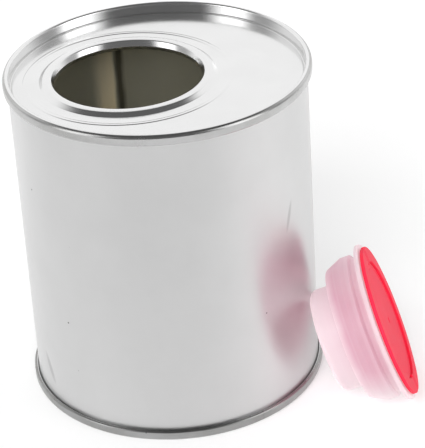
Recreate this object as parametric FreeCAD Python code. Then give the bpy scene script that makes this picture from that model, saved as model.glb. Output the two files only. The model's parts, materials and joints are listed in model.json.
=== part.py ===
import FreeCAD, Part
import math
import os

# A tinplate paint can with an off-centre pouring neck, and its push-in pouring closure.
# Millimetres, +Z up. The origin is the centre of the can's base, on the surface it stands on.
# The closure lies beside the can on its flange and its snap bead, facing +X and a little up.
# Closure parts are drawn in their own frame: z = 0 is the underside of the flange, which
# seats on the can's neck, and +z points outwards through the red cap.

# ---- Can: driving sizes ----
SHEET = 0.25
CAN_HEIGHT = 97.1
SEAM_RADIUS = 43.0
SEAM_HEIGHT = 3.0
LAYER_GAP = 0.02
PANEL_DEPTH = 3.2
COUNTERSINK_DEPTH = 3.8
NECK_X = -8.2
NECK_BORE_RADIUS = 20.6
NECK_WALL_DEPTH = 4.7
NECK_FLARE_DEPTH = 3.75
NECK_CREST_DEPTH = 2.2
NECK_LIP_RADIUS = 21.5
NECK_LIP_DROP = 0.16
NECK_SHOULDER_RADIUS = 23.7
NECK_SHOULDER_DROP = 0.15
NECK_FOOT_RADIUS = 24.8
NECK_RING_RADIUS = 28.8
NECK_PLATE_RADIUS = 30.4
PLATE_RADIUS = 39.6
BOTTOM_BEAD_RADIUS = 27.0
WELD_WIDTH = 1.0
WELD_HEIGHT = 0.08
WELD_ANGLE = 113.0

# ---- Double seam, from outside to inside (radii of the sheets' middles) ----
COVER_WALL = SEAM_RADIUS - SHEET / 2
BODY_HOOK = COVER_WALL - 0.55
COVER_HOOK = BODY_HOOK - 0.35
BODY_WALL = COVER_HOOK - 0.38
CHUCK_WALL = BODY_WALL - SHEET - LAYER_GAP
SEAM_TOP_CORNER = 0.55
SEAM_OUTER_CORNER = 0.95
BODY_HOOK_DEPTH = 0.58
BODY_HOOK_END = 2.3
COVER_HOOK_END = 1.15
COMPOUND_TOP = 1.0
COMPOUND_END = 2.2

# ---- Closure: driving sizes ----
FLANGE_RADIUS = 23.3
FLANGE_THICKNESS = 1.2
GROOVE_RADIUS = 20.3
GROOVE_END = -2.1
BEAD_RADIUS = 21.35
BEAD_START = -2.7
BEAD_END = -5.4
PLUG_INNER_RADIUS = 19.3
PLUG_END_RADIUS = 19.33
PLUG_END = -10.1
PLUG_WALL = 0.8
TUBE_RADIUS = 15.2
TUBE_END = -16.9
WEB = 0.6
FOLD_WIDTH = 3.8
FOLD_STUB = 2.0
WEB_GAP = 0.3

SPOUT_RADIUS = 15.15
SPOUT_BORE_RADIUS = 13.6
SPOUT_BOTTOM = -8.6
SPOUT_TOP = -0.3
SEAL_THICKNESS = 0.7
SEAL_BOTTOM = -5.0
PULL_RING_RADIUS = 8.0
PULL_RING_SECTION = 0.8
PULL_RING_HEIGHT = -1.9
PULL_POST_RADIUS = 1.2

CAP_RADIUS = 17.3
CAP_TOP = 1.85
CAP_UNDERSIDE = 0.45
CAP_SKIRT_INNER = 16.2
CAP_SKIRT_END = -7.5
GATE_DIMPLE_RADIUS = 1.1
GATE_DIMPLE_DEPTH = 0.3
LINER_RADIUS = 15.9
LINER_BOTTOM = -0.15
LINER_THICKNESS = 0.5

THREAD_PITCH = 3.0
THREAD_HEIGHT = 0.7
THREAD_BASE = 1.4
THREAD_CREST = 0.7
THREAD_ROOT = 0.2
NECK_THREAD_START = -6.9
NECK_THREAD_TURNS = 1.25
CAP_THREAD_TURNS = 1.0

BAIL_INNER_RADIUS = 17.6
BAIL_OUTER_RADIUS = 22.1
BAIL_BOTTOM = 1.45
BAIL_TOP = 2.5
BAIL_HINGE_OFFSET = 1.5
BAIL_EDGE = 0.25
HINGE_END_GAP = 0.15
LUG_HALF_WIDTH = 0.65
LUG_EMBED = 0.3

# ---- Where the closure lies ----
CLOSURE_X = 59.25
CLOSURE_Y = -22.45
CLOSURE_YAW = -2.0
CLOSURE_TILT = math.degrees(math.atan2(FLANGE_RADIUS - BEAD_RADIUS, -BEAD_END))
CLOSURE_Z = FLANGE_RADIUS * math.cos(math.radians(CLOSURE_TILT))
BAIL_LINE_ANGLE = 21.0

AXIS = FreeCAD.Vector(0, 0, 1)
ORIGIN = FreeCAD.Vector(0, 0, 0)
SMALL = 1e-6


# ---- Section drawing ----
def point(r, z):
    return FreeCAD.Vector(r, 0, z)


def corner(before, at, after, radius):
    """The start, middle and end of the arc that rounds the corner at `at`."""
    back = (before - at).normalize()
    ahead = (after - at).normalize()
    half = back.getAngle(ahead) / 2
    reach = radius / math.tan(half)
    inward = (back + ahead).normalize()
    centre = at + inward * (radius / math.sin(half))
    return at + back * reach, centre - inward * radius, at + ahead * reach


def rounded_wire(points, closed):
    """A wire through (r, z, corner radius) points, with each corner rounded."""
    places = [point(r, z) for r, z, _ in points]
    count = len(points)
    edges = []
    last = None if closed else places[0]
    first = None
    for i, (_, _, radius) in enumerate(points):
        if not closed and i in (0, count - 1):
            start, middle, end = places[i], None, places[i]
        elif radius == 0:
            start, middle, end = places[i], None, places[i]
        else:
            start, middle, end = corner(places[i - 1], places[i], places[(i + 1) % count], radius)
        if last is not None and last.distanceToPoint(start) > SMALL:
            edges.append(Part.LineSegment(last, start).toShape())
        if middle is not None:
            edges.append(Part.Arc(start, middle, end).toShape())
        first = first or start
        last = end
    if closed and last.distanceToPoint(first) > SMALL:
        edges.append(Part.LineSegment(last, first).toShape())
    return Part.Wire(edges)


def turned(points):
    """A solid turned about the Z axis from a closed section."""
    return Part.Face(rounded_wire(points, True)).revolve(ORIGIN, AXIS, 360)


def turned_sheet(points):
    """Sheet metal turned about the Z axis, from the middle line of its section."""
    band = rounded_wire(points, False).makeOffset2D(SHEET / 2)
    return Part.Face(band).revolve(ORIGIN, AXIS, 360)


def ring(inner, outer, bottom, top):
    return turned([(inner, bottom, 0), (outer, bottom, 0), (outer, top, 0), (inner, top, 0)])


# ---- Can ----
def at_edge(points, edge, inward):
    """Section points given by their depth below a rim, placed at that rim."""
    return [(r, edge + inward * depth, radius) for r, depth, radius in points]


def end_rim(start_radius, beads):
    """The rim of an end: panel, countersink, chuck wall and seamed edge."""
    middle = PANEL_DEPTH + SHEET / 2
    countersink = CHUCK_WALL - 0.75
    return [
        (start_radius, middle, 0),
        *beads,
        (countersink, middle, 0.3),
        (countersink, COUNTERSINK_DEPTH, 0.27),
        (CHUCK_WALL, COUNTERSINK_DEPTH, 0.35),
        (CHUCK_WALL, SHEET / 2, SEAM_TOP_CORNER),
        (COVER_WALL, SHEET / 2, SEAM_OUTER_CORNER),
        (COVER_WALL, SEAM_HEIGHT - SHEET / 2, (COVER_WALL - COVER_HOOK) / 2),
        (COVER_HOOK, SEAM_HEIGHT - SHEET / 2, (COVER_WALL - COVER_HOOK) / 2),
        (COVER_HOOK, COVER_HOOK_END, 0),
    ]


def raised_bead(radius, height, half_width):
    """Four points of a low bead pressed up from the panel."""
    middle = PANEL_DEPTH + SHEET / 2
    return [
        (radius - 2 * half_width, middle, 2 * half_width),
        (radius - half_width, middle - height, 2 * half_width),
        (radius + half_width, middle - height, 2 * half_width),
        (radius + 2 * half_width, middle, 2 * half_width),
    ]


def body_hook():
    turn = (BODY_HOOK - BODY_WALL) / 2
    return [
        (BODY_HOOK, BODY_HOOK_END, 0),
        (BODY_HOOK, BODY_HOOK_DEPTH, turn),
        (BODY_WALL, BODY_HOOK_DEPTH, turn),
    ]


def can_body():
    bottom = at_edge(body_hook(), 0, 1)
    top = at_edge(body_hook(), CAN_HEIGHT, -1)
    shell = turned_sheet(bottom + top[::-1])
    return shell.fuse(weld_strip()).removeSplitter()


def weld_strip():
    """The lapped weld down the back of the body."""
    inner = BODY_WALL
    outer = BODY_WALL + SHEET / 2 + WELD_HEIGHT
    half = math.degrees(WELD_WIDTH / 2 / outer)
    length = CAN_HEIGHT - 2 * (SEAM_HEIGHT + SHEET)
    section = Part.Face(
        rounded_wire([(inner, 0, 0), (outer, 0, 0), (outer, length, 0), (inner, length, 0)], True)
    )
    section.rotate(ORIGIN, AXIS, WELD_ANGLE - half)
    strip = section.revolve(ORIGIN, AXIS, 2 * half)
    strip.translate(AXIS * (SEAM_HEIGHT + SHEET))
    return strip


def end_plate(hole_x, hole_radius, z):
    """The flat middle of an end, with room cut for what is pressed into it."""
    plate = Part.makeCylinder(PLATE_RADIUS, SHEET, FreeCAD.Vector(0, 0, z))
    room = Part.makeCylinder(hole_radius, SHEET, FreeCAD.Vector(hole_x, 0, z))
    return plate.cut(room)


def neck_section():
    """Pouring neck: straight wall, flare, lip, low crest, shoulder, and slope to the panel."""
    middle = PANEL_DEPTH + SHEET / 2
    wall = NECK_BORE_RADIUS + SHEET / 2
    crest = (NECK_LIP_RADIUS + NECK_SHOULDER_RADIUS) / 2
    return [
        (wall, NECK_WALL_DEPTH, 0),
        (wall, NECK_FLARE_DEPTH, 0.8),
        (NECK_LIP_RADIUS, NECK_CREST_DEPTH + NECK_LIP_DROP, 0.35),
        (crest, NECK_CREST_DEPTH, 3.0),
        (NECK_SHOULDER_RADIUS, NECK_CREST_DEPTH + NECK_SHOULDER_DROP, 0.8),
        (NECK_FOOT_RADIUS, middle, 0.8),
        *raised_bead(NECK_RING_RADIUS, 0.12, 0.35),
        (NECK_PLATE_RADIUS, middle, 0),
    ]


def top_end():
    rim = turned_sheet(at_edge(end_rim(PLATE_RADIUS - SHEET, []), CAN_HEIGHT, -1))
    neck = turned_sheet(at_edge(neck_section(), CAN_HEIGHT, -1))
    neck.translate(FreeCAD.Vector(NECK_X, 0, 0))
    plate = end_plate(NECK_X, NECK_PLATE_RADIUS, CAN_HEIGHT - PANEL_DEPTH - SHEET)
    return rim.fuse([neck, plate]).removeSplitter()


def bottom_end():
    start = BOTTOM_BEAD_RADIUS - 3.0
    bead = raised_bead(BOTTOM_BEAD_RADIUS, 0.5, 0.6)
    rim = turned_sheet(at_edge(end_rim(start, bead), 0, 1))
    plate = Part.makeCylinder(start, SHEET, FreeCAD.Vector(0, 0, PANEL_DEPTH))
    return rim.fuse(plate).removeSplitter()


def seam_compound(edge, inward):
    """Sealing compound between the body hook and the end's outer wall."""
    inner = BODY_HOOK + SHEET / 2 + LAYER_GAP
    outer = COVER_WALL - SHEET / 2 - LAYER_GAP
    near = edge + inward * COMPOUND_TOP
    far = edge + inward * COMPOUND_END
    return ring(inner, outer, min(near, far), max(near, far))


# ---- Closure ----
def spout_shell():
    """Flange, snap groove and bead, plug wall, and the tube down to the web's fold."""
    fold_inner = TUBE_RADIUS - FOLD_WIDTH
    outer_turn = FOLD_WIDTH / 2
    inner_turn = outer_turn - WEB
    stub = TUBE_END + FOLD_STUB
    return turned([
        (PLUG_INNER_RADIUS, FLANGE_THICKNESS, 0.3),
        (FLANGE_RADIUS, FLANGE_THICKNESS, 0.4),
        (FLANGE_RADIUS, 0, 0),
        (GROOVE_RADIUS, 0, 0.2),
        (GROOVE_RADIUS, GROOVE_END, 0.2),
        (BEAD_RADIUS, BEAD_START, 0.3),
        (BEAD_RADIUS, BEAD_END, 0),
        (PLUG_END_RADIUS, PLUG_END, 0.5),
        (TUBE_RADIUS, PLUG_END, 0.3),
        (TUBE_RADIUS, TUBE_END, outer_turn),
        (fold_inner, TUBE_END, outer_turn),
        (fold_inner, stub, 0),
        (fold_inner + WEB, stub, 0),
        (fold_inner + WEB, TUBE_END + WEB, inner_turn),
        (TUBE_RADIUS - WEB, TUBE_END + WEB, inner_turn),
        (TUBE_RADIUS - WEB, PLUG_END + PLUG_WALL, 0.3),
        (PLUG_END_RADIUS - 0.9, PLUG_END + PLUG_WALL, 0.4),
        (PLUG_INNER_RADIUS, BEAD_END, 0.4),
    ])


def spout_bellows():
    """Inner leg of the folding web, from the fold up to the spout."""
    low = TUBE_END + FOLD_STUB + WEB_GAP
    fold_inner = TUBE_RADIUS - FOLD_WIDTH
    return turned([
        (fold_inner, low, 0),
        (fold_inner + WEB, low, 0),
        (SPOUT_BORE_RADIUS + WEB, SPOUT_BOTTOM, 0),
        (SPOUT_BORE_RADIUS, SPOUT_BOTTOM, 0),
    ])


def thread_ridge(root, height, start, turns):
    """A helical ridge that stands `height` out of a wall, inwards when negative."""
    side = math.copysign(THREAD_ROOT, height)
    path = Part.makeHelix(THREAD_PITCH, THREAD_PITCH * turns, root)
    path.translate(AXIS * start)
    profile = rounded_wire(
        [
            (root - side, start - THREAD_BASE / 2, 0),
            (root + height, start - THREAD_CREST / 2, 0),
            (root + height, start + THREAD_CREST / 2, 0),
            (root - side, start + THREAD_BASE / 2, 0),
        ],
        True,
    )
    pipe = Part.BRepOffsetAPI.MakePipeShell(Part.Wire(path.Edges))
    pipe.setFrenetMode(True)
    pipe.add(profile)
    pipe.build()
    pipe.makeSolid()
    return pipe.shape()


def spout_neck():
    tube = turned([
        (SPOUT_BORE_RADIUS, SPOUT_BOTTOM, 0),
        (SPOUT_RADIUS, SPOUT_BOTTOM, 0.2),
        (SPOUT_RADIUS, SPOUT_TOP, 0.4),
        (SPOUT_BORE_RADIUS, SPOUT_TOP, 0.4),
    ])
    ridge = thread_ridge(SPOUT_RADIUS, THREAD_HEIGHT, NECK_THREAD_START, NECK_THREAD_TURNS)
    return tube.fuse(ridge)


def neck_seal():
    """Tear-off membrane across the spout, with its post and pull ring."""
    top = SEAL_BOTTOM + SEAL_THICKNESS
    membrane = Part.makeCylinder(SPOUT_BORE_RADIUS, SEAL_THICKNESS, FreeCAD.Vector(0, 0, SEAL_BOTTOM))
    pull_ring = Part.makeTorus(PULL_RING_RADIUS, PULL_RING_SECTION, FreeCAD.Vector(0, 0, PULL_RING_HEIGHT))
    foot = FreeCAD.Vector(0, PULL_RING_RADIUS, top - THREAD_ROOT)
    post = Part.makeCylinder(PULL_POST_RADIUS, PULL_RING_HEIGHT - foot.z, foot)
    return membrane.fuse([post, pull_ring])


def screw_cap():
    cup = turned([
        (0, CAP_TOP, 0),
        (CAP_RADIUS, CAP_TOP, 0.25),
        (CAP_RADIUS, CAP_SKIRT_END, 0.2),
        (CAP_SKIRT_INNER, CAP_SKIRT_END, 0.2),
        (CAP_SKIRT_INNER, CAP_UNDERSIDE, 0.25),
        (0, CAP_UNDERSIDE, 0),
    ])
    start = NECK_THREAD_START + THREAD_PITCH / 2
    ridge = thread_ridge(CAP_SKIRT_INNER, -THREAD_HEIGHT, start, CAP_THREAD_TURNS)
    dimple = Part.makeCylinder(
        GATE_DIMPLE_RADIUS, GATE_DIMPLE_DEPTH, FreeCAD.Vector(0, 0, CAP_TOP - GATE_DIMPLE_DEPTH)
    )
    lugs = [hinge_lug(side) for side in (-1, 1)]
    return cup.fuse([ridge, *lugs]).cut(dimple)


def hinge_lug(side):
    """The block on the cap's rim that both bails hinge from."""
    near = CAP_RADIUS - LUG_EMBED
    length = BAIL_OUTER_RADIUS - HINGE_END_GAP - near
    start = side * near if side > 0 else side * (near + length)
    return Part.makeBox(
        2 * LUG_HALF_WIDTH,
        length,
        BAIL_TOP - BAIL_BOTTOM,
        FreeCAD.Vector(-LUG_HALF_WIDTH, start, BAIL_BOTTOM),
    )


def cap_liner():
    return Part.makeCylinder(LINER_RADIUS, LINER_THICKNESS, FreeCAD.Vector(0, 0, LINER_BOTTOM))


def cap_bail(side):
    """A flat half ring on one side of the cap, with a round hinge barrel at each end."""
    flat = turned([
        (BAIL_INNER_RADIUS, BAIL_BOTTOM, BAIL_EDGE),
        (BAIL_OUTER_RADIUS, BAIL_BOTTOM, BAIL_EDGE),
        (BAIL_OUTER_RADIUS, BAIL_TOP, BAIL_EDGE),
        (BAIL_INNER_RADIUS, BAIL_TOP, BAIL_EDGE),
    ])
    reach = 2 * BAIL_OUTER_RADIUS
    keep_from = BAIL_HINGE_OFFSET if side > 0 else -BAIL_HINGE_OFFSET - reach
    keep = Part.makeBox(reach, 2 * reach, reach, FreeCAD.Vector(keep_from, -reach, -reach / 2))
    barrel_radius = (BAIL_TOP - BAIL_BOTTOM) / 2
    middle = (BAIL_TOP + BAIL_BOTTOM) / 2
    near = BAIL_INNER_RADIUS + HINGE_END_GAP
    length = BAIL_OUTER_RADIUS - HINGE_END_GAP - near
    barrels = [
        Part.makeCylinder(
            barrel_radius,
            length,
            FreeCAD.Vector(side * BAIL_HINGE_OFFSET, end * near, middle),
            FreeCAD.Vector(0, end, 0),
        )
        for end in (-1, 1)
    ]
    return flat.common(keep).fuse(barrels)


def closure_placement():
    """Where the closure's own frame lies: its z along the axis, its y along the bails' line."""
    tilt = math.radians(CLOSURE_TILT)
    yaw = math.radians(CLOSURE_YAW)
    out = FreeCAD.Vector(
        math.cos(tilt) * math.cos(yaw), math.cos(tilt) * math.sin(yaw), math.sin(tilt)
    )
    level = AXIS.cross(out).normalize()
    upward = out.cross(level)
    turn = math.radians(BAIL_LINE_ANGLE)
    along = upward * math.cos(turn) + level * math.sin(turn)
    rotation = FreeCAD.Rotation(along.cross(out), along, out, "ZYX")
    return FreeCAD.Placement(FreeCAD.Vector(CLOSURE_X, CLOSURE_Y, CLOSURE_Z), rotation)


def main():
    can = {
        "can_body": can_body(),
        "top_end": top_end(),
        "bottom_end": bottom_end(),
        "top_seam_compound": seam_compound(CAN_HEIGHT, -1),
        "bottom_seam_compound": seam_compound(0, 1),
    }
    closure = {
        "spout_shell": spout_shell(),
        "spout_bellows": spout_bellows(),
        "spout_neck": spout_neck(),
        "neck_seal": neck_seal(),
        "screw_cap": screw_cap(),
        "cap_liner": cap_liner(),
        "cap_bail_left": cap_bail(-1),
        "cap_bail_right": cap_bail(1),
    }
    placement = closure_placement()
    for shape in closure.values():
        shape.Placement = placement.multiply(shape.Placement)
    os.makedirs("parts", exist_ok=True)
    for name, shape in {**can, **closure}.items():
        print(name, shape.isValid(), len(shape.Solids), round(shape.Volume, 1))
        shape.exportStep(f"parts/{name}.step")


main()
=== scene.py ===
import json
import math

import bmesh
import bpy
from mathutils import Matrix, Vector, noise


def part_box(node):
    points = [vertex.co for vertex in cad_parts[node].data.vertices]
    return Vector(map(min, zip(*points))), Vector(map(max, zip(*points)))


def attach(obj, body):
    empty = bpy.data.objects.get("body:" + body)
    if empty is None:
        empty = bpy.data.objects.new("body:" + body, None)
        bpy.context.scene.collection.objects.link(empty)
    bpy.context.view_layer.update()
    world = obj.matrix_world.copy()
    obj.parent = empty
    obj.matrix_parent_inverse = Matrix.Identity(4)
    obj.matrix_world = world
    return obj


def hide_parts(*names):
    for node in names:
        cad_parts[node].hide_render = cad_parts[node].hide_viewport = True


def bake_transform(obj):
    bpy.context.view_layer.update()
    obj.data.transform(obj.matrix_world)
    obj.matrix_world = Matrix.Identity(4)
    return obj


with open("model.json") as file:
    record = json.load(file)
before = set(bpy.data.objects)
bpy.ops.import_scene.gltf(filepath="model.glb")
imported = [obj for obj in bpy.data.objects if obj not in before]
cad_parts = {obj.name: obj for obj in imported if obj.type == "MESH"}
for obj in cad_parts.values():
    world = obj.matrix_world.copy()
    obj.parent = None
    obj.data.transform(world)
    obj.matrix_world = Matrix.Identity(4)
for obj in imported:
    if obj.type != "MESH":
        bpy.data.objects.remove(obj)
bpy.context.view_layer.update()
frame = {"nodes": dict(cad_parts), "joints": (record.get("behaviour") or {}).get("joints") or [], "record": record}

SCENE = bpy.context.scene
SCENE.view_settings.view_transform = "Standard"
MM = 0.001
MICRON = 0.000001

# ---- Can sizes in millimetres: the outer ones come from the frame ----
CAN_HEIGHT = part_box("top_end")[1].z / MM
SEAM_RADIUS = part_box("top_end")[1].x / MM
NECK = next(m for m in frame["record"]["mounts"] if m["name"] == "neck")
NECK_X = NECK["pos_m"][0] / MM
NECK_BORE_RADIUS = NECK["dims"]["r_mm"]
SHEET = 0.25
SEAM_HEIGHT = 3.0
PANEL_DEPTH = 3.2
COUNTERSINK_DEPTH = 3.8
PANEL_MIDDLE = PANEL_DEPTH + SHEET / 2
COVER_WALL = SEAM_RADIUS - SHEET / 2
COVER_TO_BODY_HOOK = 0.55
BODY_TO_COVER_HOOK = 0.35
COVER_HOOK_TO_WALL = 0.38
SEAM_SLACK = 0.02
BODY_HOOK = COVER_WALL - COVER_TO_BODY_HOOK
COVER_HOOK = BODY_HOOK - BODY_TO_COVER_HOOK
BODY_WALL = COVER_HOOK - COVER_HOOK_TO_WALL
CHUCK_WALL = BODY_WALL - SHEET - SEAM_SLACK
SEAM_TOP_CORNER = 0.55
SEAM_OUTER_CORNER = 0.95
BODY_HOOK_DEPTH = 0.58
BODY_HOOK_END = 2.3
COVER_HOOK_END = 1.15
SEAM_WORKED_RADIUS = 42.3
COUNTERSINK_WIDTH = 0.75
NECK_WALL_DEPTH = 4.7
NECK_FLARE_DEPTH = 3.75
NECK_CREST_DEPTH = 2.2
NECK_LIP_RADIUS = 21.5
NECK_LIP_DROP = 0.16
NECK_SHOULDER_RADIUS = 23.7
NECK_SHOULDER_DROP = 0.15
NECK_FOOT_RADIUS = 24.8
NECK_RING_RADIUS = 28.8
NECK_RING_HEIGHT = 0.12
NECK_RING_HALF_WIDTH = 0.35
NECK_PLATE_RADIUS = 30.4
PLATE_RADIUS = 39.6
BOTTOM_BEAD_RADIUS = 27.0
BOTTOM_BEAD_HEIGHT = 0.5
BOTTOM_BEAD_HALF_WIDTH = 0.6
BOTTOM_FLAT_RADIUS = 10.0
WELD_ANGLE = math.radians(113.0)
WELD_HALF_WIDTH = 0.5
WELD_RISE = 0.08
STRIPE_HALF_WIDTH = 4.5

# ---- Closure sizes in millimetres, in its own frame: z = 0 under the flange, +z outwards ----
FLANGE_RADIUS = 23.3
FLANGE_THICKNESS = 1.2
GROOVE_RADIUS = 20.3
GROOVE_END = -2.1
BEAD_RADIUS = 21.35
BEAD_START = -2.7
BEAD_END = -5.4
PLUG_INNER_RADIUS = 19.3
PLUG_END_RADIUS = 19.33
PLUG_END = -10.1
PLUG_WALL = 0.8
PLUG_CONE_WALL = 0.9
TUBE_RADIUS = 15.2
TUBE_END = -16.9
WEB = 0.6
FOLD_WIDTH = 3.8
FOLD_STUB = 2.0
SPOUT_BORE_RADIUS = 13.6
SPOUT_BOTTOM = -8.6
CAP_RADIUS = 17.3
CAP_TOP = 1.85
CAP_UNDERSIDE = 0.45
CAP_SKIRT_INNER = 16.2
CAP_SKIRT_END = -7.5
BAIL_INNER_RADIUS = 17.6
BAIL_OUTER_RADIUS = 22.1
BAIL_BOTTOM = 1.45
BAIL_TOP = 2.5
BAIL_HINGE_OFFSET = 1.5
LUG_HALF_WIDTH = 0.65
HINGE_END_GAP = 0.15
WEB_HINGE_THICKNESS = 0.3

# ---- Wear and finish of the can, in millimetres ----
# Shallow dents in the wall: angle, height, half width, half height, depth, and lean to the side.
DENTS = [
    (math.radians(208), 12.0, 1.5, 5.0, 0.20, -0.45),
    (math.radians(324), 60.0, 0.9, 5.0, 0.12, 0.3),
]
WALL_WAVE_HEIGHT = 0.05
WALL_WAVE_LENGTH = 40
WALL_WAVE_RATE = 1.3
WALL_FADE_START = 1.5
WALL_FADE_END = 12.0
PANEL_WAVE_HEIGHT = 0.035
PANEL_WAVE_LENGTH = 17
PANEL_WAVE_LEVEL = 3.0
PANEL_FADE_WIDTH = 6
SEAM_RIPPLE_HEIGHT = 0.05
SEAM_RIPPLE_RATE = 8.7
INNER_STRIPE_HALF_WIDTH = 8.0
# Painted light: the inner stripe is drawn stronger below the first height and fainter above the second.
INNER_STRIPE_STRONG_BELOW = 60.0
INNER_STRIPE_WEAK_ABOVE = 92.0

# ---- Small features of the closure, in millimetres ----
GATE_DIMPLE_RADIUS = 1.1
GATE_DIMPLE_DEPTH = 0.3
GATE_DIMPLE_FLOOR = 0.66
CAP_LINE_INSET = 1.4
CAP_LINE_DEPTH = 0.14
CAP_LINE_HALF_WIDTH = 0.3
PINK_RAGGED = 1.5
MILKY_RING_RATE = 800.0
THREAD_PITCH = 3.0
THREAD_HEIGHT = 0.7
THREAD_START = -5.4
THREAD_TURNS = 1.0
THREAD_BASE_HALF = 0.7
THREAD_CREST_HALF = 0.35
THREAD_EMBED = 0.1
THREAD_TAPER_SHARE = 1 / 12
LUG_ROUNDING = 0.18
LUG_EMBED = 0.3
HINGE_EMBED = 0.1
HINGE_END_INSET = 0.6
BAIL_CORNER = 0.25
BAIL_LIFT = 0.05
BAIL_WAVE_RATE = 2.1
BAIL_WAVES_APART = 7.0
BAIL_WAVE_LEVEL = 0.5

# ---- Colours: where there are two, the surface varies between them ----
BODY_TIN = ((0.65, 0.65, 0.65), (0.625, 0.625, 0.625))
END_TIN = ((0.82, 0.82, 0.82), (0.78, 0.78, 0.78))
TOP_SEAM_TIN = ((0.56, 0.56, 0.56), (0.40, 0.40, 0.39))
FOOT_SEAM_TIN = ((0.40, 0.40, 0.40), (0.26, 0.26, 0.25))
# Darker grey for the middle of each dent.
DENT_DARK_GREY = 0.50
TIN_DIRT = 0.05
LACQUER = ((0.75, 0.73, 0.60), (0.80, 0.78, 0.66))
LACQUER_THICK = (0.95, 0.76, 0.44)
# Near-black painted shadow of the sheet's edge along the lap inside the weld.
LAP_EDGE_PAINTED_SHADOW = (0.10, 0.09, 0.06)
LACQUER_METALLIC = 0.8
SIDE_STRIPE = ((0.66, 0.64, 0.58), (0.78, 0.77, 0.73))
WELD = ((0.30, 0.31, 0.34), (0.52, 0.52, 0.52))
MILKY = (0.54, 0.48, 0.50)
MILKY_PINK = (0.42, 0.26, 0.32)
MILKY_GLOW = (1.0, 0.79, 0.84)
MILKY_PINK_GLOW = (1.0, 0.54, 0.66)
RED = ((0.90, 0.022, 0.06), (0.97, 0.035, 0.08))
FOAM = ((0.86, 0.86, 0.84), (0.74, 0.74, 0.72))
COMPOUND = ((0.40, 0.38, 0.33), (0.52, 0.49, 0.42))

# ---- Fineness of the meshes, and tolerances ----
CAN_SEGMENTS = 256
CLOSURE_SEGMENTS = 192
THREAD_STEPS = 96
BAIL_STEPS = 72
HINGE_STEPS = 8
BARREL_TURNS = (90, 70, 50, 30, 15)
ROUNDING_SEGMENTS = 3
PANEL_STEPS = 14
WALL_STEP = 2.5
WEB_STEP = 0.5
ARC_STEP = math.radians(9)
SHARP_ANGLE = math.radians(38)
SAME_POINT = 1e-7
SHORTEST_STEP = 1e-5
FACING_UP = 0.3
# Extra points round the wall, in half widths of the weld or dent from its middle.
WELD_POINTS = (-1.15, -0.85, -0.4, 0, 0.4, 0.85, 1.15)
DENT_POINTS = (-1.6, -0.9, -0.45, 0, 0.45, 0.9, 1.6)

# ---- Studio: brightness of each part of the room, the floor, and the camera, in metres ----
WHITE_WALL = 1.05
SIDE_WALL = 0.45
RIGHT_BOX = 2.1
LEFT_BOX = 1.9
DARK_FRONT = 0.15
DARK_CEILING = 0.12
FLOOR_HALF_WIDTH = 3.0
FLOOR_SHADED = 0.52
FLOOR_LIT = 0.72
FLOOR_GLOW_SHADED = 0.72
FLOOR_GLOW_LIT = 1.0
FLOOR_GLOW = 0.36
FLOOR_LIT_TOWARDS = (0.4, 0.92, 0.0)
FLOOR_SHADE_REACH = (-0.15, 0.05)
FILL_PLACE = (-0.3, -1.1, 0.9)
FILL_TARGET = (0, 0, 0.04)
FILL_SIZE = (1.4, 1.0)
FILL_POWER = 26
CAMERA_SENSOR = 36.0
CAMERA_LENS = 172.2
CAMERA_PLACE = (0.01254, -0.53606, 0.35539)
CAMERA_PITCH = math.radians(30.08)
CAMERA_ROLL = math.radians(-3.73)


# ---- Profiles ----
def corner_arc(before, at, after, radius):
    """Points along the arc that rounds the corner at `at`."""
    back = (before - at).normalized()
    ahead = (after - at).normalized()
    half = back.angle(ahead) / 2
    reach = radius / math.tan(half)
    centre = at + (back + ahead).normalized() * (radius / math.sin(half))
    start = at + back * reach - centre
    end = at + ahead * reach - centre
    sweep = math.pi - 2 * half
    steps = max(2, math.ceil(sweep / ARC_STEP))
    turn = start.cross(end)
    sign = 1 if turn > 0 else -1
    points = []
    for i in range(steps + 1):
        angle = sign * sweep * i / steps
        c, s = math.cos(angle), math.sin(angle)
        points.append(centre + Vector((start.x * c - start.y * s, start.x * s + start.y * c)))
    return points


def rounded(points, closed):
    """A polyline through (r, z, corner radius) points with its corners rounded."""
    places = [Vector((r, z)) for r, z, _ in points]
    count = len(points)
    line = []
    for i, (_, _, radius) in enumerate(points):
        end_point = not closed and i in (0, count - 1)
        if end_point or radius == 0:
            line.append(places[i])
        else:
            line.extend(corner_arc(places[i - 1], places[i], places[(i + 1) % count], radius))
    return [p for i, p in enumerate(line) if i == 0 or (p - line[i - 1]).length > SHORTEST_STEP]


def subdivided(line, longest):
    """The same line with no step longer than `longest`."""
    out = [line[0]]
    for a, b in zip(line, line[1:]):
        steps = max(1, math.ceil((b - a).length / longest))
        out.extend(a.lerp(b, k / steps) for k in range(1, steps + 1))
    return out


def both_sides(line, thickness):
    """The two faces of a sheet whose middle line is `line`, both running the same way."""
    normals = []
    for i in range(len(line)):
        along = (line[min(i + 1, len(line) - 1)] - line[max(i - 1, 0)]).normalized()
        normals.append(Vector((-along.y, along.x)))
    half = thickness / 2
    left = [p + n * half for p, n in zip(line, normals)]
    right = [p - n * half for p, n in zip(line, normals)]
    return left, right


# ---- Meshes ----
def circle_angles(segments, extra=()):
    """Even angles round a circle, and any extra ones, in order."""
    angles = [2 * math.pi * i / segments for i in range(segments)]
    return sorted(angles + list(extra))


def rings_mesh(name, rings, angles, matrix=None, shape=None, loop=True):
    """A shell through rings of (centre x, radius, z) in millimetres.

    `shape` may move a point, given its angle and place. A `loop` joins the last ring to the
    first; otherwise the shell starts and ends on its axis.
    """
    verts = []
    for cx, r, z in rings:
        for angle in angles:
            p = Vector((cx + r * math.cos(angle), r * math.sin(angle), z))
            if shape:
                p = shape(angle, p)
            verts.append(p * MM)
    count = len(angles)
    faces = []
    for i in range(len(rings) if loop else len(rings) - 1):
        j = (i + 1) % len(rings)
        for k in range(count):
            m = (k + 1) % count
            faces.append((i * count + k, i * count + m, j * count + m, j * count + k))
    mesh = bpy.data.meshes.new(name)
    mesh.from_pydata(verts, [], faces)
    if matrix is not None:
        mesh.transform(matrix)
    return finished(name, mesh)


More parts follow.
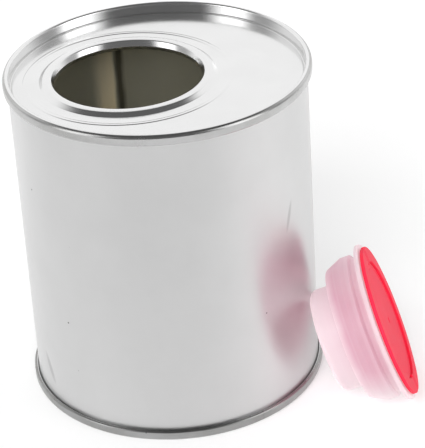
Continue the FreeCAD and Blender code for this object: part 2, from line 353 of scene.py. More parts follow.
def finished(name, mesh):
    """Links a mesh as an object, with outward normals and smooth shading."""
    bm = bmesh.new()
    bm.from_mesh(mesh)
    bmesh.ops.remove_doubles(bm, verts=bm.verts, dist=SAME_POINT)
    bmesh.ops.recalc_face_normals(bm, faces=bm.faces)
    bm.to_mesh(mesh)
    bm.free()
    mesh.shade_smooth()
    mesh.set_sharp_from_angle(angle=SHARP_ANGLE)
    piece = bpy.data.objects.new(name, mesh)
    SCENE.collection.objects.link(piece)
    return piece


def place(piece, body, nodes, slot, *materials):
    """Gives a piece its materials and body and hides the CAD nodes it stands for; `slot` is not used."""
    for material in materials:
        piece.data.materials.append(material)
    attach(piece, body)
    if nodes:
        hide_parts(*nodes)


# ---- Can ----
def at_edge(points, edge, inward):
    """Section points given by their depth below a rim, placed at that rim."""
    return [(r, edge + inward * depth, radius) for r, depth, radius in points]


def end_rim(start_radius, beads=()):
    """Middle line of an end's rim: panel, countersink, chuck wall and seamed edge."""
    countersink = CHUCK_WALL - COUNTERSINK_WIDTH
    turn = (COVER_WALL - COVER_HOOK) / 2
    return [
        (start_radius, PANEL_MIDDLE, 0),
        *beads,
        (countersink, PANEL_MIDDLE, 0.3),
        (countersink, COUNTERSINK_DEPTH, 0.27),
        (CHUCK_WALL, COUNTERSINK_DEPTH, 0.35),
        (CHUCK_WALL, SHEET / 2, SEAM_TOP_CORNER),
        (COVER_WALL, SHEET / 2, SEAM_OUTER_CORNER),
        (COVER_WALL, SEAM_HEIGHT - SHEET / 2, turn),
        (COVER_HOOK, SEAM_HEIGHT - SHEET / 2, turn),
        (COVER_HOOK, COVER_HOOK_END, 0),
    ]


def raised_bead(radius, height, half_width):
    """Four points of a low bead pressed up from the panel."""
    return [
        (radius - 2 * half_width, PANEL_MIDDLE, 2 * half_width),
        (radius - half_width, PANEL_MIDDLE - height, 2 * half_width),
        (radius + half_width, PANEL_MIDDLE - height, 2 * half_width),
        (radius + 2 * half_width, PANEL_MIDDLE, 2 * half_width),
    ]


def neck_line():
    """Middle line of the pouring neck: wall, flare, lip, low crest, shoulder, slope, embossed ring."""
    wall = NECK_BORE_RADIUS + SHEET / 2
    crest = (NECK_LIP_RADIUS + NECK_SHOULDER_RADIUS) / 2
    return [
        (wall, NECK_WALL_DEPTH, 0),
        (wall, NECK_FLARE_DEPTH, 0.8),
        (NECK_LIP_RADIUS, NECK_CREST_DEPTH + NECK_LIP_DROP, 0.35),
        (crest, NECK_CREST_DEPTH, 3.0),
        (NECK_SHOULDER_RADIUS, NECK_CREST_DEPTH + NECK_SHOULDER_DROP, 0.8),
        (NECK_FOOT_RADIUS, PANEL_MIDDLE, 0.8),
        *raised_bead(NECK_RING_RADIUS, NECK_RING_HEIGHT, NECK_RING_HALF_WIDTH),
        (NECK_PLATE_RADIUS, PANEL_MIDDLE, 0),
    ]


def body_line():
    """Middle line of the body wall with its hook at each end."""
    turn = (BODY_HOOK - BODY_WALL) / 2
    hook = [
        (BODY_HOOK, BODY_HOOK_END, 0),
        (BODY_HOOK, BODY_HOOK_DEPTH, turn),
        (BODY_WALL, BODY_HOOK_DEPTH, turn),
    ]
    return at_edge(hook, 0, 1) + at_edge(hook, CAN_HEIGHT, -1)[::-1]


def wall_fade(z):
    """0 near the seams, rising to 1 over the open wall between them."""
    clear, full = SEAM_HEIGHT + WALL_FADE_START, SEAM_HEIGHT + WALL_FADE_END
    near = min(z, CAN_HEIGHT - z)
    t = min(1.0, max(0.0, (near - clear) / (full - clear)))
    return t * t * (3 - 2 * t)


def body_wobble(angle, p):
    """The thin wall's slight waves, its dents, and the weld, which stands out on the outside only."""
    x, y = math.cos(angle) * WALL_WAVE_RATE, math.sin(angle) * WALL_WAVE_RATE
    wave = noise.noise(Vector((x, y, p.z / WALL_WAVE_LENGTH)))
    move = wall_fade(p.z) * WALL_WAVE_HEIGHT * wave
    for dent_angle, height, half_width, half_height, depth, lean in DENTS:
        up = (p.z - height) / half_height
        along = ((angle - dent_angle) * BODY_WALL - lean * (p.z - height)) / half_width
        move -= depth * math.exp(-(along * along + up * up))
    from_weld = abs(angle - WELD_ANGLE) * BODY_WALL
    if from_weld < WELD_HALF_WIDTH and math.hypot(p.x, p.y) > BODY_WALL:
        move += WELD_RISE * wall_fade(p.z)
    out = Vector((p.x, p.y, 0)).normalized()
    return p + out * move


def can_body(tin, lacquer, stripe, weld):
    """The welded wall, with closer points at its weld and dents."""
    line = subdivided(rounded(body_line(), False), WALL_STEP)
    left, right = both_sides(line, SHEET)
    rings = [(0, p.x, p.y) for p in left + right[::-1]]
    near = WELD_HALF_WIDTH / BODY_WALL
    extra = [WELD_ANGLE + near * k for k in WELD_POINTS]
    for dent_angle, _, half_width, *_ in DENTS:
        extra += [dent_angle + k * half_width / BODY_WALL for k in DENT_POINTS]
    piece = rings_mesh("can_body_wall", rings, circle_angles(CAN_SEGMENTS, extra), shape=body_wobble)
    place(piece, "can", ["can_body"], "tinplate", tin, lacquer, stripe, weld)
    paint_body(piece)


def paint_body(piece):
    """Inside faces are lacquered; outside, the weld and its clear side stripe run down the back."""
    for face in piece.data.polygons:
        c = face.center
        off = abs(math.atan2(c.y, c.x) - WELD_ANGLE) * BODY_WALL
        if face.normal.x * c.x + face.normal.y * c.y < 0:
            face.material_index = 1
        elif off < WELD_HALF_WIDTH:
            face.material_index = 3
        elif off < STRIPE_HALF_WIDTH:
            face.material_index = 2


def seam_wrinkle(angle, p, edge):
    """Faint ripples that the seaming roll leaves on the outer wall of a seam."""
    depth = abs(p.z - edge)
    if math.hypot(p.x, p.y) < COVER_HOOK or depth > SEAM_HEIGHT:
        return p
    x, y = math.cos(angle) * SEAM_RIPPLE_RATE, math.sin(angle) * SEAM_RIPPLE_RATE
    ripple = noise.noise(Vector((x, y, edge)))
    share = depth / SEAM_HEIGHT
    return p + Vector((0, 0, SEAM_RIPPLE_HEIGHT * ripple * share))


def top_end_shape(angle, p):
    """Gentle waves in the flat panel, and ripples in the seam."""
    from_middle = math.hypot(p.x, p.y)
    if from_middle < PLATE_RADIUS:
        place_in_wave = (p.x / PANEL_WAVE_LENGTH, p.y / PANEL_WAVE_LENGTH, PANEL_WAVE_LEVEL)
        wave = noise.noise(Vector(place_in_wave))
        fade = min(1.0, (PLATE_RADIUS - from_middle) / PANEL_FADE_WIDTH)
        return p + Vector((0, 0, PANEL_WAVE_HEIGHT * wave * fade))
    return seam_wrinkle(angle, p, CAN_HEIGHT)


def side_rings(line, thickness, middles):
    """Rings for both sides of a sheet, whose points each have their own centre x."""
    left, right = both_sides(line, thickness)
    out = [(cx, p.x, p.y) for cx, p in zip(middles, left)]
    back = [(cx, p.x, p.y) for cx, p in zip(middles, right)]
    return out, back


def panel_between(neck, rim, steps):
    """The flat panel from the round plate of the neck, off centre, to the countersink."""
    (x0, a), (x1, b) = (NECK_X, neck), (0.0, rim)
    shares = [k / steps for k in range(1, steps)]
    return [(x0 + (x1 - x0) * s, a.lerp(b, s)) for s in shares]


def top_end(tin, lacquer, seam):
    """The end with the pouring neck, lacquered underneath."""
    neck = rounded(at_edge(neck_line(), CAN_HEIGHT, -1), False)
    rim = rounded(at_edge(end_rim(PLATE_RADIUS), CAN_HEIGHT, -1), False)
    between = panel_between(neck[-1], rim[0], PANEL_STEPS)
    middles = [NECK_X] * len(neck) + [x for x, _ in between] + [0.0] * len(rim)
    line = neck + [p for _, p in between] + rim
    out, back = side_rings(line, SHEET, middles)
    piece = rings_mesh("top_end_panel", out + back[::-1], circle_angles(CAN_SEGMENTS), shape=top_end_shape)
    place(piece, "can", ["top_end"], "tinplate", tin, lacquer, seam)
    inside_from = (len(out) - 1) * CAN_SEGMENTS
    for face in piece.data.polygons:
        if face.index >= inside_from:
            face.material_index = 1
        elif on_seam(face):
            face.material_index = 2


def on_seam(face):
    """True on the outer wall of a double seam, which the seaming roll has worked."""
    return math.hypot(*face.center.xy) > SEAM_WORKED_RADIUS * MM


def bottom_end_shape(angle, p):
    """Ripples in the seam."""
    return seam_wrinkle(angle, p, 0.0)


def bottom_end(tin, lacquer, seam):
    """The plain end with its stiffening bead, lacquered above."""
    bead = raised_bead(BOTTOM_BEAD_RADIUS, BOTTOM_BEAD_HEIGHT, BOTTOM_BEAD_HALF_WIDTH)
    rim = end_rim(0.0, [(BOTTOM_FLAT_RADIUS, PANEL_MIDDLE, 0), *bead])
    line = rounded(at_edge(rim, 0, 1), False)
    out, back = side_rings(line, SHEET, [0.0] * len(line))
    piece = rings_mesh(
        "bottom_end_panel", out + back[::-1], circle_angles(CAN_SEGMENTS), shape=bottom_end_shape, loop=False
    )
    place(piece, "can", ["bottom_end"], "tinplate", tin, lacquer, seam)
    for face in piece.data.polygons:
        if face.normal.z > FACING_UP and math.hypot(*face.center.xy) < CHUCK_WALL * MM:
            face.material_index = 1
        elif on_seam(face):
            face.material_index = 2


# ---- Closure ----
def joint(name):
    """The frame's entry for one joint."""
    return next(j for j in frame["joints"] if j["name"] == name)


def closure_matrix():
    """From the closure's own frame to the row frame: z out through the cap, y along the bails' line."""
    out = Vector(joint("cap_unscrew")["axis"]).normalized()
    along = Vector(joint("bail_left_fold")["axis"]).normalized()
    across = along.cross(out)
    turn = Matrix((across, along, out)).transposed().to_4x4()
    return Matrix.Translation(joint("cap_unscrew")["pos_m"]) @ turn


CLOSURE = closure_matrix()


def in_row(x, y, z):
    """A point of the closure's frame, in millimetres, as a point of the row frame."""
    return CLOSURE @ Vector((x * MM, y * MM, z * MM))


def turned(name, points, loop=True, longest=None):
    """A closure piece turned about the closure's axis from a (r, z, corner radius) section."""
    line = rounded(points, loop)
    if longest:
        line = subdivided(line, longest)
    rings = [(0.0, p.x, p.y) for p in line]
    return rings_mesh(name, rings, circle_angles(CLOSURE_SEGMENTS), CLOSURE, loop=loop)


def spout_shell(milky):
    """The plug: flange, groove, snap bead, cone, and the fold at the end of its tube."""
    fold_inner = TUBE_RADIUS - FOLD_WIDTH
    outer_turn = FOLD_WIDTH / 2
    inner_turn = outer_turn - WEB
    stub = TUBE_END + FOLD_STUB
    piece = turned("spout_shell_moulding", [
        (PLUG_INNER_RADIUS, FLANGE_THICKNESS, 0.3),
        (FLANGE_RADIUS, FLANGE_THICKNESS, 0.4),
        (FLANGE_RADIUS, 0, 0.15),
        (GROOVE_RADIUS, 0, 0.25),
        (GROOVE_RADIUS, GROOVE_END, 0.3),
        (BEAD_RADIUS, BEAD_START, 0.35),
        (BEAD_RADIUS, BEAD_END, 0.3),
        (PLUG_END_RADIUS, PLUG_END, 0.5),
        (TUBE_RADIUS, PLUG_END, 0.35),
        (TUBE_RADIUS, TUBE_END, outer_turn),
        (fold_inner, TUBE_END, outer_turn),
        (fold_inner, stub, 0),
        (fold_inner + WEB, stub, 0),
        (fold_inner + WEB, TUBE_END + WEB, inner_turn),
        (TUBE_RADIUS - WEB, TUBE_END + WEB, inner_turn),
        (TUBE_RADIUS - WEB, PLUG_END + PLUG_WALL, 0.3),
        (PLUG_END_RADIUS - PLUG_CONE_WALL, PLUG_END + PLUG_WALL, 0.4),
        (PLUG_INNER_RADIUS, BEAD_END, 0.4),
    ])
    place(piece, "closure", ["spout_shell"], "milky_polyethylene", milky)


def spout_bellows(milky):
    """The web's inner leg, from the fold to the spout."""
    fold_inner = TUBE_RADIUS - FOLD_WIDTH
    low = TUBE_END + FOLD_STUB
    piece = turned("spout_bellows_web", [
        (fold_inner, low, 0),
        (fold_inner + WEB, low, 0),
        (SPOUT_BORE_RADIUS + WEB, SPOUT_BOTTOM, 0),
        (SPOUT_BORE_RADIUS, SPOUT_BOTTOM, 0),
    ], longest=WEB_STEP)
    piece.data.materials.append(milky)
    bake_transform(piece)
    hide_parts("spout_bellows")


def screw_cap(red):
    """The cap's cup, with its gate dimple and the ring line round its face."""
    line = CAP_RADIUS - CAP_LINE_INSET
    piece = turned("screw_cap_cup", [
        (0, CAP_TOP - GATE_DIMPLE_DEPTH, 0),
        (GATE_DIMPLE_FLOOR, CAP_TOP - GATE_DIMPLE_DEPTH, 0.3),
        (GATE_DIMPLE_RADIUS, CAP_TOP, 0.3),
        (line - CAP_LINE_HALF_WIDTH, CAP_TOP, 0.3),
        (line, CAP_TOP - CAP_LINE_DEPTH, 0.25),
        (line + CAP_LINE_HALF_WIDTH, CAP_TOP, 0.25),
        (CAP_RADIUS, CAP_TOP, 0.28),
        (CAP_RADIUS, CAP_SKIRT_END, 0.2),
        (CAP_SKIRT_INNER, CAP_SKIRT_END, 0.2),
        (CAP_SKIRT_INNER, CAP_UNDERSIDE, 0.25),
        (0, CAP_UNDERSIDE, 0),
    ], loop=False)
    place(piece, "cap", ["screw_cap"], "red_polyethylene", red)
    cap_thread(red)
    for side, label in ((1, "top"), (-1, "bottom")):
        hinge_lug(side, label, red)


def swept_faces(sections, size):
    """The side faces through a row of closed sections with `size` points each."""
    return [
        (i * size + k, i * size + (k + 1) % size, (i + 1) * size + (k + 1) % size, (i + 1) * size + k)
        for i in range(sections - 1)
        for k in range(size)
    ]


def end_faces(sections, size):
    """The first and last section as faces."""
    return [tuple(range(size)), tuple((sections - 1) * size + k for k in range(size))]


def cap_thread(red):
    """The helical ridge inside the cap's skirt, fading out at both ends."""
    section = [
        (THREAD_EMBED, -THREAD_BASE_HALF),
        (-THREAD_HEIGHT, -THREAD_CREST_HALF),
        (-THREAD_HEIGHT, THREAD_CREST_HALF),
        (THREAD_EMBED, THREAD_BASE_HALF),
    ]
    verts = []
    for i in range(THREAD_STEPS + 1):
        share = i / THREAD_STEPS
        angle = 2 * math.pi * THREAD_TURNS * share
        rise = THREAD_START + THREAD_PITCH * THREAD_TURNS * share
        taper = min(1.0, min(share, 1.0 - share) / THREAD_TAPER_SHARE)
        for dr, dz in section:
            r = CAP_SKIRT_INNER + (dr * taper if dr < 0 else dr)
            verts.append(Vector((r * math.cos(angle), r * math.sin(angle), rise + dz)) * MM)
    count, size = THREAD_STEPS + 1, len(section)
    mesh = bpy.data.meshes.new("screw_cap_thread")
    mesh.from_pydata(verts, [], swept_faces(count, size) + end_faces(count, size))
    mesh.transform(CLOSURE)
    place(finished("screw_cap_thread", mesh), "cap", [], "red_polyethylene", red)


def hinge_lug(side, label, red):
    """The small block between the bails' ends that both hinge from."""
    near = CAP_RADIUS - LUG_EMBED
    far = BAIL_OUTER_RADIUS - HINGE_END_GAP
    low, high = BAIL_BOTTOM, BAIL_TOP
    verts = [
        Vector((x, side * y, z)) * MM
        for z in (low, high)
        for x, y in (
            (-LUG_HALF_WIDTH, near),
            (LUG_HALF_WIDTH, near),
            (LUG_HALF_WIDTH, far),
            (-LUG_HALF_WIDTH, far),
        )
    ]
    faces = [(0, 1, 2, 3), (4, 5, 6, 7), (0, 1, 5, 4), (1, 2, 6, 5), (2, 3, 7, 6), (3, 0, 4, 7)]
    mesh = bpy.data.meshes.new("cap_lug_" + label)
    mesh.from_pydata(verts, [], faces)
    mesh.transform(CLOSURE)
    piece = finished("cap_lug_" + label, mesh)
    round_edges(piece, LUG_ROUNDING)
    place(piece, "cap", [], "red_polyethylene", red)


def round_edges(piece, width):
    """Rounds a piece's edges with a bevel, `width` in millimetres."""
    bevel = piece.modifiers.new("rounding", "BEVEL")
    bevel.width = width * MM
    bevel.segments = ROUNDING_SEGMENTS


def rounded_section(low_r, high_r, low_z, high_z, radius):
    """A rounded rectangle in (r, z)."""
    box = [(low_r, low_z), (high_r, low_z), (high_r, high_z), (low_r, high_z)]
    return rounded([(r, z, radius) for r, z in box], True)


def bail_point(r, z, share, beyond, side):
    """A place on a bail: `share` runs -1 to 1 from end to end, `beyond` turns round the hinge."""
    middle = (BAIL_TOP + BAIL_BOTTOM) / 2
    barrel = (BAIL_TOP - BAIL_BOTTOM) / 2
    angle = math.acos(BAIL_HINGE_OFFSET / r) * share
    x = r * math.cos(angle) - barrel * math.sin(beyond)
    wave = noise.noise(Vector((angle * BAIL_WAVE_RATE, side * BAIL_WAVES_APART, BAIL_WAVE_LEVEL)))
    lift = BAIL_LIFT * wave * (1 - share * share)
    return Vector((side * x, r * math.sin(angle), middle + (z - middle) * math.cos(beyond) + lift))


def cap_bail(side, label, red):
    """A flat half ring with a round barrel at each end."""
    section = rounded_section(BAIL_INNER_RADIUS, BAIL_OUTER_RADIUS, BAIL_BOTTOM, BAIL_TOP, BAIL_CORNER)
    turns = [math.radians(a) for a in BARREL_TURNS]
    stations = [(-1.0, t) for t in turns]
    stations += [(-1.0 + 2.0 * i / BAIL_STEPS, 0.0) for i in range(BAIL_STEPS + 1)]
    stations += [(1.0, t) for t in turns[::-1]]
    verts = [bail_point(p.x, p.y, share, t, side) * MM for share, t in stations for p in section]
    mesh = bpy.data.meshes.new("cap_bail_" + label)
    mesh.from_pydata(verts, [], swept_faces(len(stations), len(section)))
    mesh.transform(CLOSURE)
    piece = finished("cap_bail_ring_" + label, mesh)
    body = "bail_" + label
    place(piece, body, ["cap_bail_" + label], "red_polyethylene", red)
    for end, word in ((1, "top"), (-1, "bottom")):
        living_hinge(side, end, f"cap_hinge_{label}_{word}", red)


def living_hinge(side, end, name, red):
    """The thin web that joins a bail's barrel to the cap's lug."""
    barrel = (BAIL_TOP - BAIL_BOTTOM) / 2
    inner = LUG_HALF_WIDTH - HINGE_EMBED
    outer = BAIL_HINGE_OFFSET - barrel + HINGE_EMBED
    near, far = BAIL_INNER_RADIUS + HINGE_END_INSET, BAIL_OUTER_RADIUS - HINGE_END_INSET
    middle = (BAIL_TOP + BAIL_BOTTOM) / 2
    half = WEB_HINGE_THICKNESS / 2
    section = ((near, -half), (far, -half), (far, half), (near, half))
    verts = []
    for i in range(HINGE_STEPS + 1):
        x = side * (inner + (outer - inner) * i / HINGE_STEPS)
        verts.extend(in_row(x, end * y, middle + z) for y, z in section)
    count, size = HINGE_STEPS + 1, len(section)
    mesh = bpy.data.meshes.new(name)
    mesh.from_pydata(verts, [], swept_faces(count, size) + end_faces(count, size))
    piece = finished(name, mesh)
    piece.data.materials.append(red)
    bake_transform(piece)


# ---- Materials ----
def grey(value):
    """A neutral colour."""
    return (value, value, value)


class Nodes:
    """A short way to add and link shader nodes in one material or world."""

    def __init__(self, tree):
        self.tree = tree
        self.tree.nodes.clear()

    def add(self, kind, **settings):
        """A new node with some of its settings."""
        node = self.tree.nodes.new(kind)
        for name, value in settings.items():
            setattr(node, name, value)
        return node

    def link(self, source, target):
        self.tree.links.new(source, target)

    def noise(self, vector, scale, detail=2.0, rough=0.5):
        """Noise from 0 to 1, with about `scale` waves to each unit of `vector`."""
        node = self.add("ShaderNodeTexNoise")
        node.inputs["Scale"].default_value = scale
        node.inputs["Detail"].default_value = detail
        node.inputs["Roughness"].default_value = rough
        self.link(vector, node.inputs["Vector"])
        return node.outputs["Fac"]

    def stretched(self, vector, scale):
        """The same place with each axis multiplied, for marks that run one way."""
        node = self.add("ShaderNodeMapping")
        node.inputs["Scale"].default_value = scale
        self.link(vector, node.inputs["Vector"])
        return node.outputs["Vector"]

    def ramp(self, value, *stops):
        """Stops are (place, value or colour)."""
        node = self.add("ShaderNodeValToRGB")
        band = node.color_ramp
        while len(band.elements) < len(stops):
            band.elements.new(0.5)
        for element, (position, colour) in zip(band.elements, stops):
            element.position = position
            red_green_blue = grey(colour) if isinstance(colour, (int, float)) else colour
            element.color = (*red_green_blue, 1)
        self.link(value, node.inputs["Fac"])
        return node.outputs["Color"]

    def split(self, vector):
        """The x, y and z of a vector."""
        node = self.add("ShaderNodeSeparateXYZ")
        self.link(vector, node.inputs[0])
        return node.outputs

    def between(self, value, low, high, start=0.0, end=1.0):
        """A number that runs from `low` to `high` as `value` runs from `start` to `end`."""
        node = self.add("ShaderNodeMapRange")
        node.inputs["From Min"].default_value = start
        node.inputs["From Max"].default_value = end
        node.inputs["To Min"].default_value = low
        node.inputs["To Max"].default_value = high
        self.link(value, node.inputs["Value"])
        return node.outputs["Result"]

    def along(self, vector, axis):
        """How far a point lies along `axis` from the origin."""
        node = self.add("ShaderNodeVectorMath", operation="DOT_PRODUCT")
        node.inputs[1].default_value = axis
        self.link(vector, node.inputs[0])
        return node.outputs["Value"]

    def banded(self, value, scale):
        """Noise that changes only along `value`."""
        node = self.add("ShaderNodeTexNoise", noise_dimensions="1D")
        node.inputs["Scale"].default_value = scale
        self.link(value, node.inputs["W"])
        return node.outputs["Fac"]

    def maths(self, operation, *values):
        """One step of arithmetic on numbers or outputs."""
        node = self.add("ShaderNodeMath", operation=operation)
        for socket, value in zip(node.inputs, values):
            if isinstance(value, (int, float)):
                socket.default_value = value
            else:
                self.link(value, socket)
        return node.outputs[0]

    def mixed(self, share, a, b):
        """Colour `a` turning into colour `b` as `share` rises."""
        node = self.add("ShaderNodeMix", data_type="RGBA")
        self.link(share, node.inputs[0])
        for socket, colour in ((node.inputs[6], a), (node.inputs[7], b)):
            if isinstance(colour, tuple):
                socket.default_value = (*colour, 1)
            else:
                self.link(colour, socket)
        return node.outputs[2]

    def bump(self, height, distance, normal=None):
        """A normal that rises with `height`, by `distance` metres, over another normal if given."""
        node = self.add("ShaderNodeBump")
        node.inputs["Distance"].default_value = distance
        self.link(height, node.inputs["Height"])
        if normal is not None:
            self.link(normal, node.inputs["Normal"])
        return node.outputs["Normal"]


def new_material(name):
    """A material with its nodes, a principled shader and the object's own coordinates."""
    material = bpy.data.materials.new(name)
    material.use_nodes = True
    nodes = Nodes(material.node_tree)
    shader = nodes.add("ShaderNodeBsdfPrincipled")
    output = nodes.add("ShaderNodeOutputMaterial")
    nodes.link(shader.outputs["BSDF"], output.inputs["Surface"])
    where = nodes.add("ShaderNodeTexCoord").outputs["Object"]
    return material, nodes, shader, where


def tinplate(name, rough, colours, brushed=0.0, dented=False):
    """Bright tinned steel: long rolling marks, soft stains, and a few fine scratches."""
    material, nodes, shader, where = new_material(name)
    rolled = nodes.noise(nodes.stretched(where, (260, 260, 26)), scale=1.0, detail=3.0)
    stain = nodes.noise(where, scale=55, detail=4.0, rough=0.6)
    scuff = nodes.ramp(nodes.noise(where, scale=320, detail=3.0, rough=0.7), (0.60, 0.0), (0.78, 1.0))
    tone = nodes.mixed(nodes.ramp(stain, (0.35, 0.0), (0.75, 1.0)), *colours)
    if dented:
        # The middle of each dent is coloured a darker grey.
        tone = nodes.mixed(dent_darkening(nodes, where), tone, grey(DENT_DARK_GREY))
    nodes.link(nodes.mixed(specks(nodes, where), tone, grey(TIN_DIRT)), shader.inputs["Base Color"])
    smooth = nodes.between(rolled, *rough)
    nodes.link(nodes.maths("ADD", smooth, nodes.maths("MULTIPLY", scuff, 0.06)), shader.inputs["Roughness"])
    shader.inputs["Metallic"].default_value = 1.0
    fine = nodes.bump(rolled, 4 * MICRON)
    soft = nodes.bump(nodes.noise(where, scale=90, detail=1.0), 30 * MICRON, normal=fine)
    nodes.link(soft, shader.inputs["Normal"])
    if brushed:
        shader.inputs["Anisotropic"].default_value = brushed
        shader.inputs["Anisotropic Rotation"].default_value = 0.25
        around = nodes.add("ShaderNodeTangent", direction_type="RADIAL", axis="Z")
        nodes.link(around.outputs["Tangent"], shader.inputs["Tangent"])
    return material


def dent_darkening(nodes, where):
    """1 in the middle of each dent in the can's wall, which is coloured darker, 0 away from them."""
    x, y, z = nodes.split(where)
    round_wall = nodes.maths("MULTIPLY", nodes.maths("ARCTAN2", y, x), BODY_WALL * MM)
    nearest = 0.0
    for dent_angle, height, half_width, half_height, _, lean in DENTS:
        middle = math.remainder(dent_angle, 2 * math.pi) * BODY_WALL - lean * height
        leaning = nodes.maths("SUBTRACT", round_wall, nodes.maths("MULTIPLY", z, lean))
        across = nodes.between(leaning, -1.0, 1.0, (middle - half_width) * MM, (middle + half_width) * MM)
        along = nodes.between(z, -1.0, 1.0, (height - half_height) * MM, (height + half_height) * MM)
        squares = [nodes.maths("MULTIPLY", side, side) for side in (across, along)]
        nearest = nodes.maths("MAXIMUM", nearest, nodes.maths("SUBTRACT", 1.0, nodes.maths("ADD", *squares)))
    return nodes.ramp(nearest, (0.0, 0.0), (0.8, 1.0))


def specks(nodes, where):
    """1 in a few sparse pinhead specks of dirt, 0 elsewhere."""
    cells = nodes.add("ShaderNodeTexVoronoi")
    cells.inputs["Scale"].default_value = 110
    nodes.link(where, cells.inputs["Vector"])
    return nodes.ramp(cells.outputs["Distance"], (0.02, 1.0), (0.035, 0.0))


def gold_lacquer(name, striped=False):
    """The can's inside: tinplate under a thin olive-gold lacquer."""
    material, nodes, shader, where = new_material(name)
    base = nodes.mixed(nodes.noise(where, scale=45, detail=3.0), *LACQUER)
    shader.inputs["Metallic"].default_value = LACQUER_METALLIC
    if striped:
        base = inner_stripe(nodes, shader, where, base)
    nodes.link(base, shader.inputs["Base Color"])
    nodes.link(nodes.between(nodes.noise(where, scale=140), 0.26, 0.36), shader.inputs["Roughness"])
    shader.inputs["Coat Weight"].default_value = 0.3
    shader.inputs["Coat Roughness"].default_value = 0.2
    nodes.link(nodes.bump(nodes.noise(where, scale=700), 10 * MICRON), shader.inputs["Normal"])
    return material


def inner_stripe(nodes, shader, where, base):
    """Thicker golden lacquer down the inside of the weld, mottled and soft at its edges and painted brighter low
    down where light from the opening falls; beside it a near-black band at the lap is painted shadow of the
    sheet's edge.
    """
    x, y, z = nodes.split(where)
    reach = INNER_STRIPE_HALF_WIDTH / BODY_WALL
    turn = nodes.between(nodes.maths("ARCTAN2", y, x), 0.0, 1.0, WELD_ANGLE - reach, WELD_ANGLE + reach)
    mottle = nodes.noise(nodes.stretched(where, (420, 420, 60)), scale=1.0, detail=3.0, rough=0.6)
    across = nodes.maths("ADD", turn, nodes.between(mottle, -0.06, 0.06))
    gold = nodes.ramp(across, (0.30, 0.0), (0.38, 1.0), (0.60, 0.8), (0.80, 0.0))
    # The lap band is painted shadow of the overlapping sheet's edge.
    lap = nodes.ramp(across, (0.12, 0.0), (0.20, 0.85), (0.26, 0.85), (0.34, 0.0))
    # Painted light: the stripe is stronger low down, where light through the opening falls on the far wall, and
    # fainter near the top.
    painted_light_low = nodes.between(z, 1.0, 0.3, INNER_STRIPE_STRONG_BELOW * MM, INNER_STRIPE_WEAK_ABOVE * MM)
    strength = nodes.maths("MULTIPLY", gold, nodes.maths("MULTIPLY", painted_light_low, nodes.between(mottle, 0.6, 1.0)))
    nodes.link(nodes.between(strength, LACQUER_METALLIC, 0.15), shader.inputs["Metallic"])
    return nodes.mixed(lap, nodes.mixed(strength, base, LACQUER_THICK), LAP_EDGE_PAINTED_SHADOW)


def side_stripe():
    """Clear lacquer laid over the weld and the bare metal beside it, streaked along the can."""
    material, nodes, shader, where = new_material("clear_side_stripe")
    streak = nodes.noise(nodes.stretched(where, (900, 900, 20)), scale=1.0, detail=3.0)
    nodes.link(nodes.mixed(streak, *SIDE_STRIPE), shader.inputs["Base Color"])
    nodes.link(nodes.between(streak, 0.26, 0.40), shader.inputs["Roughness"])
    shader.inputs["Metallic"].default_value = 0.95
    nodes.link(nodes.bump(streak, 10 * MICRON), shader.inputs["Normal"])
    return material


def weld_metal():
    """The lap weld: a narrow run of overlapping grey-blue nuggets."""
    material, nodes, shader, where = new_material("weld_line")
    wave = nodes.add("ShaderNodeTexWave", bands_direction="Z", wave_profile="SIN")
    wave.inputs["Scale"].default_value = 320
    wave.inputs["Distortion"].default_value = 1.2
    nodes.link(where, wave.inputs["Vector"])
    ripple = wave.outputs["Fac"]
    nodes.link(nodes.mixed(ripple, *WELD), shader.inputs["Base Color"])
    nodes.link(nodes.between(ripple, 0.34, 0.52), shader.inputs["Roughness"])
    shader.inputs["Metallic"].default_value = 0.9
    nodes.link(nodes.bump(ripple, 40 * MICRON), shader.inputs["Normal"])
    return material


